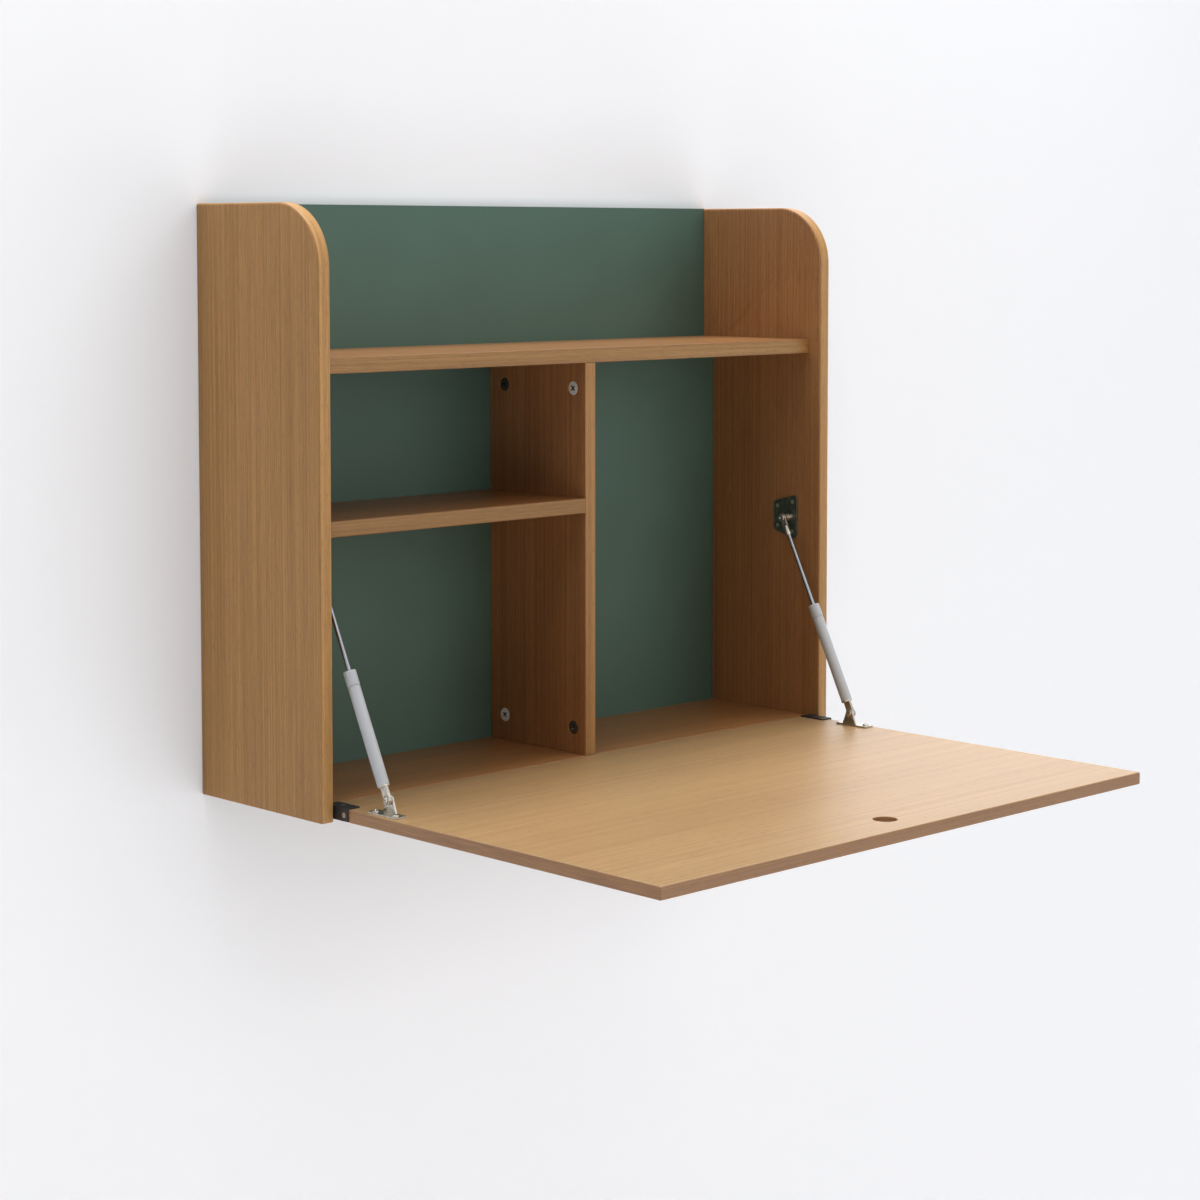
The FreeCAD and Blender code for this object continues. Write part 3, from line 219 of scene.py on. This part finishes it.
def coated(name, light, dark, smooth, rough, grain):
    """A sprayed or moulded skin: one colour with a fine texture that breaks up its gloss."""
    material, tree = new_material(name)
    place = add(tree, "TexCoord").outputs["Object"]
    texture = add(tree, "TexNoise", {"Scale": 1 / grain, "Detail": 3}, {"Vector": place})
    colour = add(tree, "ValToRGB", {"ramp": [(0.35, dark), (0.65, light)]}, {0: texture.outputs[0]})
    gloss = add(tree, "MapRange", {"To Min": smooth, "To Max": rough}, {"Value": texture.outputs[0]})
    bump = add(tree, "Bump", {"Strength": 0.1, "Distance": 0.08 * MM}, {"Height": texture.outputs[0]})
    shader = add(tree, "BsdfPrincipled", {"IOR": 1.5},
                 {"Base Color": colour.outputs[0], "Roughness": gloss.outputs[0], "Normal": bump.outputs[0]})
    add(tree, "OutputMaterial", None, {"Surface": shader.outputs[0]})
    return material


# Light and dark tones of the veneer, which is one oak all over; the boards' tones are lit and shaded copies of it.
# Inside the cabinet they are painted darker and redder as painted shade: the inner faces of the sides, the
# partition, the shelves and their edges, the floor board's top, and the lower shelf most. The sides' front edges
# are painted lighter as painted light, and the flap's edges darker as painted shade.
OUTSIDE, SHADED_INSIDE = ("#c29154", "#a0703a"), ("#c18d5b", "#9f6b40")
LIT_LEFT_EDGE, LIT_RIGHT_EDGE = ("#d2a263", "#af7f47"), ("#d0a062", "#ad7d46")
UPRIGHT, UPRIGHT_EDGE = ("#bf8a59", "#9d683d"), ("#c09156", "#9e6e3c")
SHELF, SHELF_EDGE = ("#aa7b4e", "#8b5b36"), ("#b78b53", "#966a39")
LOWER_SHELF, LOWER_SHELF_EDGE = ("#a06f42", "#83522e"), ("#ab8048", "#8c6231")
SHADED_FLOOR_BOARD = ("#bd8754", "#a06b3f")
FLAP, SHADED_FLAP_EDGE = ("#b69264", "#a07b50"), ("#b07e48", "#906134")
# Each board's axis of grain, axis of thickness, shift, coarseness, tones of face, back and edge, and roughness. The
# flap's varnish has more sheen than is typical, so its IOR is higher.
BOARDS = {
    "left_side_panel": (Z, X, (0, 0, 0), 1, SHADED_INSIDE, OUTSIDE, LIT_LEFT_EDGE, 0.46),
    "right_side_panel": (Z, X, (37, 11, 5), 1, OUTSIDE, SHADED_INSIDE, LIT_RIGHT_EDGE, 0.46),
    "partition": (Z, X, (71, 23, 9), 1, UPRIGHT, UPRIGHT, UPRIGHT_EDGE, 0.46),
    "upper_shelf": (X, Z, (13, 41, 3), 1, SHELF, SHELF, SHELF_EDGE, 0.3),
    "lower_shelf": (X, Z, (29, 67, 7), 1, LOWER_SHELF, LOWER_SHELF, LOWER_SHELF_EDGE, 0.3),
    "bottom_panel": (X, Z, (53, 83, 2), 1, SHADED_FLOOR_BOARD, OUTSIDE, SHELF_EDGE, 0.3),
    "flap_panel": (X, Z, (97, 31, 4), 1.7, FLAP, OUTSIDE, SHADED_FLAP_EDGE, 0.42, 1.75),
}
zinc = plated_steel("bright_zinc_plate", "#ccc6ba", "#b1aba0", 0.22, 0.36, 4 * MM)
cast_zinc = plated_steel("die_cast_zinc", "#f2f1ee", "#e4e3df", 0.7, 0.78, 3 * MM)
# The tarnished finish also paints the shade in the cams' cross recesses.
tarnish_and_recess_shade = plated_steel("tarnished_zinc_and_painted_recess_shade", "#7d7569", "#5f5950", 0.45, 0.55, 3 * MM)
gunmetal = plated_steel("black_zinc_plate", "#7c8075", "#62665d", 0.42, 0.55, 6 * MM)
chrome = plated_steel("ground_chrome", "#9da1a7", "#8f9399", 0.1, 0.18, 9 * MM)
black_steel = coated("black_powder_coat", "#202021", "#161617", 0.42, 0.55, 0.8 * MM)
grey_paint = coated("grey_stove_enamel", "#cbcfd3", "#c7cbcf", 0.32, 0.38, 0.8 * MM)
nylon = coated("moulded_nylon", "#e6e3da", "#dedbd1", 0.45, 0.55, 1 * MM)
pine = plain_wood("planed_pine", "#e2c79a", "#c39a62", 6 * MM)
beech = plain_wood("turned_beech", "#d9b48a", "#c69a6c", 1.5 * MM)
lacquer = green_lacquer()

FINISHES = {
    "upper_back_panel": lacquer, "lower_back_panel": lacquer, "cabinet_cleat": pine, "wall_cleat": pine,
    "hinge_bracket": black_steel, "hinge_pin": zinc, "hinge_screws": zinc, "hinge_bush": nylon,
    "strut_plate": gunmetal, "strut_plate_screws": zinc, "strut_bracket": zinc, "strut_bracket_screws": zinc,
    "pivot_screw": zinc, "strut_tube": grey_paint, "strut_gland": grey_paint, "strut_tongue": zinc,
    "strut_rod": chrome, "strut_piston": nylon, "rod_eye": zinc, "strut_stud": zinc,
    "cams": cast_zinc, "cam_bolts": zinc, "dowels": beech,
}


def dress(piece, material):
    """Gives a piece one finish."""
    piece.data.materials.clear()
    piece.data.materials.append(material)


for name, node in nodes.items():
    if name in BOARDS:
        dress(node, oak_veneer("oak_veneer_" + name, *BOARDS[name]))
        continue
    endings = [ending for ending in FINISHES if name.endswith(ending)]
    dress(node, FINISHES[max(endings, key=len)])


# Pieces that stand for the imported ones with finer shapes, in millimetres

BODY_OF = {part: body for body, parts in frame["record"]["behaviour"]["bodies"].items() for part in parts}


def stand_in(name, shape, node, turn_at=35):
    """Makes a piece of a shape drawn in millimetres. It takes a node's place, body and finish, and hides the node.
    """
    bmesh.ops.scale(shape, verts=shape.verts, vec=(MM, MM, MM))
    mesh = bpy.data.meshes.new(name)
    shape.to_mesh(mesh)
    shape.free()
    mesh.shade_smooth()
    mesh.set_sharp_from_angle(angle=math.radians(turn_at))
    piece = bpy.data.objects.new(name, mesh)
    bpy.context.scene.collection.objects.link(piece)
    mesh.materials.append(nodes[node].data.materials[0])
    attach(piece, BODY_OF[node])
    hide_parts(node)
    return piece


def soften(shape, width, corner=40, segments=2):
    """Rounds off the outer edges that turn by more than an angle in degrees."""
    sharp = [edge for edge in shape.edges if edge.is_manifold and edge.is_convex
             and edge.calc_face_angle() > math.radians(corner)]
    bmesh.ops.bevel(shape, geom=sharp, offset=width, affect="EDGES", segments=segments, profile=0.5, material=-1)


def eased(node, width):
    """A node's shape with the small round that sanding or deburring leaves on its edges."""
    shape = bmesh.new()
    shape.from_mesh(nodes[node].data)
    bmesh.ops.scale(shape, verts=shape.verts, vec=(1 / MM, 1 / MM, 1 / MM))
    bmesh.ops.remove_doubles(shape, verts=shape.verts, dist=0.002)
    bmesh.ops.dissolve_limit(shape, angle_limit=math.radians(0.5), verts=shape.verts, edges=shape.edges)
    soften(shape, width)
    return shape


def turned(profile, closed=True):
    """A shape turned about Z from points of radius and height. A closed one has a bore."""
    shape = bmesh.new()
    points = [shape.verts.new((radius, 0, height)) for radius, height in profile]
    after = points[1:] + points[:1] if closed else points[1:]
    lines = [shape.edges.new(pair) for pair in zip(points, after)]
    bmesh.ops.spin(shape, geom=points + lines, cent=(0, 0, 0), axis=(0, 0, 1), angle=math.tau, steps=48,
                   use_merge=True)
    bmesh.ops.remove_doubles(shape, verts=shape.verts, dist=0.0005)
    bmesh.ops.recalc_face_normals(shape, faces=shape.faces)
    return shape


def round_head(radius, height, crown, arm, slot, depth, spin=0, recess_finish=0):
    """A round head that stands on Z = 0, with a crowned top and a cross recess whose slots taper as they go down.
    The recess takes its own place in the list of finishes.
    """
    shape = bmesh.new()
    bmesh.ops.create_grid(shape, x_segments=5, y_segments=5, size=2.5)
    lines = (-radius, -arm, -slot / 2, slot / 2, arm, radius)
    for vert in shape.verts:
        vert.co.x = lines[round(vert.co.x + 2.5)]
        vert.co.y = lines[round(vert.co.y + 2.5)]
    bmesh.ops.subdivide_edges(shape, edges=shape.edges, cuts=1, use_grid_fill=True)
    cross = [face for face in shape.faces
             if min(abs(face.calc_center_median().x), abs(face.calc_center_median().y)) < slot / 2
             and max(abs(face.calc_center_median().x), abs(face.calc_center_median().y)) < arm]
    for vert in shape.verts:
        near, far = sorted((abs(vert.co.x), abs(vert.co.y)))
        if near > 0.51 * slot or far > 1.01 * arm:
            vert.co = vert.co.normalized() * far
        vert.co.z = height - crown * (vert.co.length / radius) ** 2
    rim = [edge for edge in shape.edges if edge.is_boundary]
    wall = bmesh.ops.extrude_edge_only(shape, edges=rim)["geom"]
    for part in wall:
        if isinstance(part, bmesh.types.BMVert):
            part.co.z = 0
    bmesh.ops.edgeloop_fill(shape, edges=[edge for edge in shape.edges if edge.is_boundary])
    sunk = bmesh.ops.extrude_face_region(shape, geom=cross)["geom"]
    bmesh.ops.delete(shape, geom=cross, context="FACES")
    for part in sunk:
        if isinstance(part, bmesh.types.BMVert):
            part.co = (part.co.x * 0.6, part.co.y * 0.6, height - depth)
            for face in part.link_faces:
                face.material_index = recess_finish
    bmesh.ops.recalc_face_normals(shape, faces=shape.faces)
    bmesh.ops.bevel(shape, geom=rim, offset=min(0.5, height / 3), affect="EDGES", segments=3, profile=0.5,
                    material=-1)
    bmesh.ops.rotate(shape, verts=shape.verts, cent=(0, 0, 0), matrix=Matrix.Rotation(math.radians(spin), 3, "Z"))
    return shape


def joined(shapes):
    """Several shapes, each with the matrix that puts it in place, as one."""
    whole = bmesh.new()
    for shape, place in shapes:
        bmesh.ops.transform(shape, matrix=place, verts=shape.verts)
        part = bpy.data.meshes.new("part")
        shape.to_mesh(part)
        shape.free()
        whole.from_mesh(part)
        bpy.data.meshes.remove(part)
    return whole


SANDED, DEBURRED = 0.6, 0.25
for node in BOARDS:
    stand_in(node.replace("_panel", "") + "_board", eased(node, SANDED), node, turn_at=20)

FACE_LEFT = Matrix.Rotation(-math.pi / 2, 4, "Y")
FACE_RIGHT = Matrix.Rotation(math.pi / 2, 4, "Y")
FACE_DOWN = Matrix.Rotation(math.pi, 4, "X")
CAM_RADIUS, CAM_DEPTH = 7.45, 12.1
CAM_FRONT, CAM_REAR = -162, -51
CAM_ROWS = (CAM_FRONT, CAM_REAR)
PARTITION_CAM_X, PARTITION_CAM_TOP, PARTITION_CAM_LOW = 12.3, 53, -317


def cams(name, node, place, centres, dull=()):
    """Cam locks, whose discs lie just below the board's face, each with a cross recess set aslant that is painted
    dark with the tarnished finish as painted shade. The dull ones have tarnished all over.
    """
    discs = []
    for centre in centres:
        # The cross recess takes the tarnished finish as painted shade.
        disc = round_head(CAM_RADIUS, CAM_DEPTH, 0.5, 3.5, 1.9, 2.2, 45, recess_finish=1)
        for face in disc.faces:
            face.material_index = max(face.material_index, int(centre in dull))
        discs.append((disc, Matrix.Translation(centre) @ place))
    piece = stand_in(name, joined(discs), node)
    piece.data.materials.append(tarnish_and_recess_shade)


cams("partition_cam_locks", "partition_cams", FACE_LEFT,
     [(PARTITION_CAM_X, y, z) for y in CAM_ROWS for z in (PARTITION_CAM_TOP, PARTITION_CAM_LOW)],
     dull=[(PARTITION_CAM_X, CAM_REAR, PARTITION_CAM_TOP), (PARTITION_CAM_X, CAM_FRONT, PARTITION_CAM_LOW)])
for board, face, columns in (("upper_shelf", 81.2, (-332, 332)), ("bottom_panel", -359.8, (-332, 332)),
                             ("lower_shelf", -80.8, (-332, -28))):
    cams(board + "_cam_locks", board + "_cams", FACE_DOWN,
         [(x, y, face + CAM_DEPTH) for x in columns for y in CAM_ROWS])

# Places from the middle of the desk. Heights along a strut are from its lower pivot, with the strut upright.
STRUT_X, SIDE_FACE_X, PIVOT_HEAD_X, BRACKET_SCREW_X = 344, 360, 345.8, 349.2
FOOT_Y, FOOT_Z = -264, -330.7
HEAD_Y, HEAD_Z = -157, -112.5
BRACKET_SCREW_ROWS, BRACKET_TOP = (-281.5, -251.5), -343
STRUT_LEAN = math.radians(-26.12)
TUBE_FOOT, TUBE_TOP, COLLAR_TOP = 15.0, 117.02, 133.02
ROD_FOOT, ROD_SHOULDER, ROD_END = 99.52, 221.02, 230.02
for name, side in (("left", -1), ("right", 1)):
    facing_out, facing_in = (FACE_LEFT, FACE_RIGHT) if side < 0 else (FACE_RIGHT, FACE_LEFT)
    strut = Matrix.Translation((side * STRUT_X, FOOT_Y, FOOT_Z)) @ Matrix.Rotation(STRUT_LEAN, 4, "X")
    for node, ending in (("hinge_bracket", "hinge_angle"), ("strut_bracket", "flap_bracket"),
                         ("strut_plate", "side_plate"), ("strut_tongue", "tube_tongue"), ("rod_eye", "rod_strap")):
        stand_in(f"{name}_{ending}", eased(f"{name}_{node}", DEBURRED), f"{name}_{node}", turn_at=25)

    tube = turned([(5, TUBE_FOOT), (6.25, TUBE_FOOT), (6.25, TUBE_TOP), (5, TUBE_TOP)])
    soften(tube, 0.45, segments=3)
    stand_in(name + "_strut_barrel", joined([(tube, strut)]), name + "_strut_tube")

    collar = turned([(2.35, TUBE_TOP), (5.8, TUBE_TOP), (5.8, TUBE_TOP + 0.7), (6.5, TUBE_TOP + 0.7),
                     (6.5, COLLAR_TOP), (3.4, COLLAR_TOP), (3.4, COLLAR_TOP - 0.8), (2.35, COLLAR_TOP - 0.8)])
    soften(collar, 0.3, segments=3)
    stand_in(name + "_strut_collar", joined([(collar, strut)]), name + "_strut_gland")

    rod = turned([(0, ROD_FOOT), (2.25, ROD_FOOT), (2.25, ROD_SHOULDER), (1.9, ROD_SHOULDER), (1.9, ROD_END),
                  (0, ROD_END)], closed=False)
    stand_in(name + "_ground_rod", joined([(rod, strut)]), name + "_strut_rod")

    post = turned([(0, 2.3), (4.6, 2.3), (4.6, 5.3), (3.2, 5.3), (3.2, 7.2), (3.8, 7.5), (3.8, 8.9), (3.2, 9.2),
                   (3.2, 10.4), (3.8, 10.7), (3.8, 12.1), (3.2, 12.4), (3.2, 14.75), (2.4, 14.75), (2.4, 17.3),
                   (0, 17.3)], closed=False)
    soften(post, 0.2)
    at_plate = Matrix.Translation((side * SIDE_FACE_X, HEAD_Y, HEAD_Z)) @ facing_in
    nut = round_head(4.2, 3, 0.5, 2.4, 1.2, 1.4, 20)
    stand_in(name + "_ringed_stud",
             joined([(post, at_plate), (nut, at_plate @ Matrix.Translation((0, 0, 17.25)))]), name + "_strut_stud")

    at_pivot = Matrix.Translation((side * PIVOT_HEAD_X, FOOT_Y, FOOT_Z)) @ facing_out
    cap = round_head(3.3, 2.6, 0.6, 2.1, 1.1, 1.3, 30)
    washer = turned([(0, 0), (4.6, 0), (4.6, 0.8), (4.2, 1.1), (3.8, 0.9), (3.6, 0.3), (0, 0.3)], closed=False)
    shank = turned([(0, 0.5), (2.4, 0.5), (2.4, -5.6), (3.4, -5.6), (3.4, -7.2), (0, -7.2)], closed=False)
    soften(shank, 0.3)
    stand_in(name + "_pivot_bolt", joined([(cap, at_pivot), (washer, at_pivot), (shank, at_pivot)]),
             name + "_pivot_screw")

    heads, stems = [], []
    for y in BRACKET_SCREW_ROWS:
        place = Matrix.Translation((side * BRACKET_SCREW_X, y, BRACKET_TOP))
        heads.append((round_head(3.5, 2, 0.7, 2.2, 0.9, 1.1, 25 + y), place))
        stems.append((turned([(0, 0.5), (1.9, 0.5), (1.9, -8), (0, -9)], closed=False), place))
    stand_in(name + "_bracket_pan_heads", joined(heads + stems), name + "_strut_bracket_screws")


# Stage: a pale wall behind the desk, seen from the front only, and a pale floor

def backdrop(name, corners):
    """A flat four-cornered piece of the stage."""
    mesh = bpy.data.meshes.new(name)
    shape = bmesh.new()
    shape.faces.new([shape.verts.new(corner) for corner in corners])
    shape.to_mesh(mesh)
    shape.free()
    piece = bpy.data.objects.new(name, mesh)
    bpy.context.scene.collection.objects.link(piece)
    return piece


# Metres from here on
REACH = 9.0
# Strength of the wall's painted fill glow, and how far its painted shadow reaches from the desk.
WALL_FILL, WALL_FILL_REACH = 0.52, 0.3
FLOOR = -1.8
WALL_GAP = 0.8 * MM
wall = backdrop("wall", [(-REACH, WALL_GAP, FLOOR), (REACH, WALL_GAP, FLOOR),
                         (REACH, WALL_GAP, REACH), (-REACH, WALL_GAP, REACH)])
floor = backdrop("floor", [(-REACH, -REACH, FLOOR), (REACH, -REACH, FLOOR),
                           (REACH, WALL_GAP, FLOOR), (-REACH, WALL_GAP, FLOOR)])
# Light that reaches the desk's back is not held off by the wall, so the back can be seen.
wall.visible_diffuse = False
wall.visible_shadow = False

material, tree = new_material("wall_paint")
paint = add(tree, "BsdfDiffuse", {"Color": linear("#cccdd0")})
# The glow is painted fill light that stands for the room's fill, and it is painted darker close to the desk as a
# painted shadow where the desk holds the fill off.
painted_shadow_ao = add(tree, "AmbientOcclusion", {"Distance": WALL_FILL_REACH, "samples": 16})
fill = add(tree, "Math", {"operation": "MULTIPLY", 1: WALL_FILL}, {0: painted_shadow_ao.outputs["AO"]})
painted_fill_glow = add(tree, "Emission", {"Color": linear("#f6f6f8")}, {"Strength": fill.outputs[0]})
paint = add(tree, "AddShader", None, {0: paint.outputs[0], 1: painted_fill_glow.outputs[0]})
clear = add(tree, "BsdfTransparent")
behind = add(tree, "NewGeometry")
skin = add(tree, "MixShader", None, {0: behind.outputs["Backfacing"], 1: paint.outputs[0], 2: clear.outputs[0]})
add(tree, "OutputMaterial", None, {"Surface": skin.outputs[0]})
dress(wall, material)
material, tree = new_material("floor_paint")
paint = add(tree, "BsdfPrincipled", {"Base Color": linear("#ececee"), "Roughness": 0.8})
add(tree, "OutputMaterial", None, {"Surface": paint.outputs[0]})
dress(floor, material)

world = bpy.data.worlds.new("room_light")
bpy.context.scene.world = world
world.use_nodes = True
tree = world.node_tree
tree.nodes.clear()
path = add(tree, "LightPath")
seen = add(tree, "Math", {"operation": "MAXIMUM"},
           {0: path.outputs["Is Camera Ray"], 1: path.outputs["Is Glossy Ray"]})
ambient = add(tree, "Background", {"Color": linear("#ffffff"), "Strength": 0.05})
pale = add(tree, "Background", {"Color": linear("#f1f1f3"), "Strength": 1.0})
mixed = add(tree, "MixShader", None, {0: seen.outputs[0], 1: ambient.outputs[0], 2: pale.outputs[0]})
add(tree, "OutputWorld", None, {"Surface": mixed.outputs[0]})


def lamp(name, kind, toward, **settings):
    """A lamp that shines along a direction."""
    light = bpy.data.lights.new(name, kind)
    for key, value in settings.items():
        setattr(light, key, value)
    piece = bpy.data.objects.new(name, light)
    piece.rotation_mode = "QUATERNION"
    piece.rotation_quaternion = Vector(toward).to_track_quat("-Z", "Y")
    bpy.context.scene.collection.objects.link(piece)
    return piece


lamp("overhead", "SUN", (0.0, -0.15, -0.99), energy=3.1, angle=math.radians(34))
lamp("front", "SUN", (-0.15, 0.95, -0.25), energy=0.72, angle=math.radians(60))
# Light that the wall throws back onto the desk is stronger on the right, where it also shows in the varnish.
for side, bounce_power in ((-1, 2.8), (1, 5.5)):
    box = lamp("soft_box", "AREA", (-0.4 * side, 0.1, -1), shape="RECTANGLE", size=1.0, size_y=0.9, energy=5.5)
    box.location = (0.9 * side, -0.6, 1.4)
    box.visible_camera = False
    box.visible_glossy = False
    bounce = lamp("wall_bounce", "AREA", (0, -1, 0), shape="RECTANGLE", size=1.2, size_y=1.8,
                  energy=bounce_power)
    bounce.location = (1.0 * side, -0.002, 0)
    bounce.visible_camera = False
    bounce.visible_glossy = side > 0

# Camera, at the photograph's view

YAW, PITCH = math.radians(43.97), math.radians(-3.89)
camera = bpy.data.cameras.new("camera")
camera.sensor_width = 36
camera.lens = 80.09
camera.shift_y = -0.15
eye = bpy.data.objects.new("camera", camera)
eye.location = (-1.9760, -2.2527, 0.2142)
forward = Vector((math.sin(YAW) * math.cos(PITCH), math.cos(YAW) * math.cos(PITCH), math.sin(PITCH)))
eye.rotation_mode = "QUATERNION"
eye.rotation_quaternion = forward.to_track_quat("-Z", "Y")
bpy.context.scene.collection.objects.link(eye)
bpy.context.scene.camera = eye
bpy.context.scene.view_settings.view_transform = "Standard"
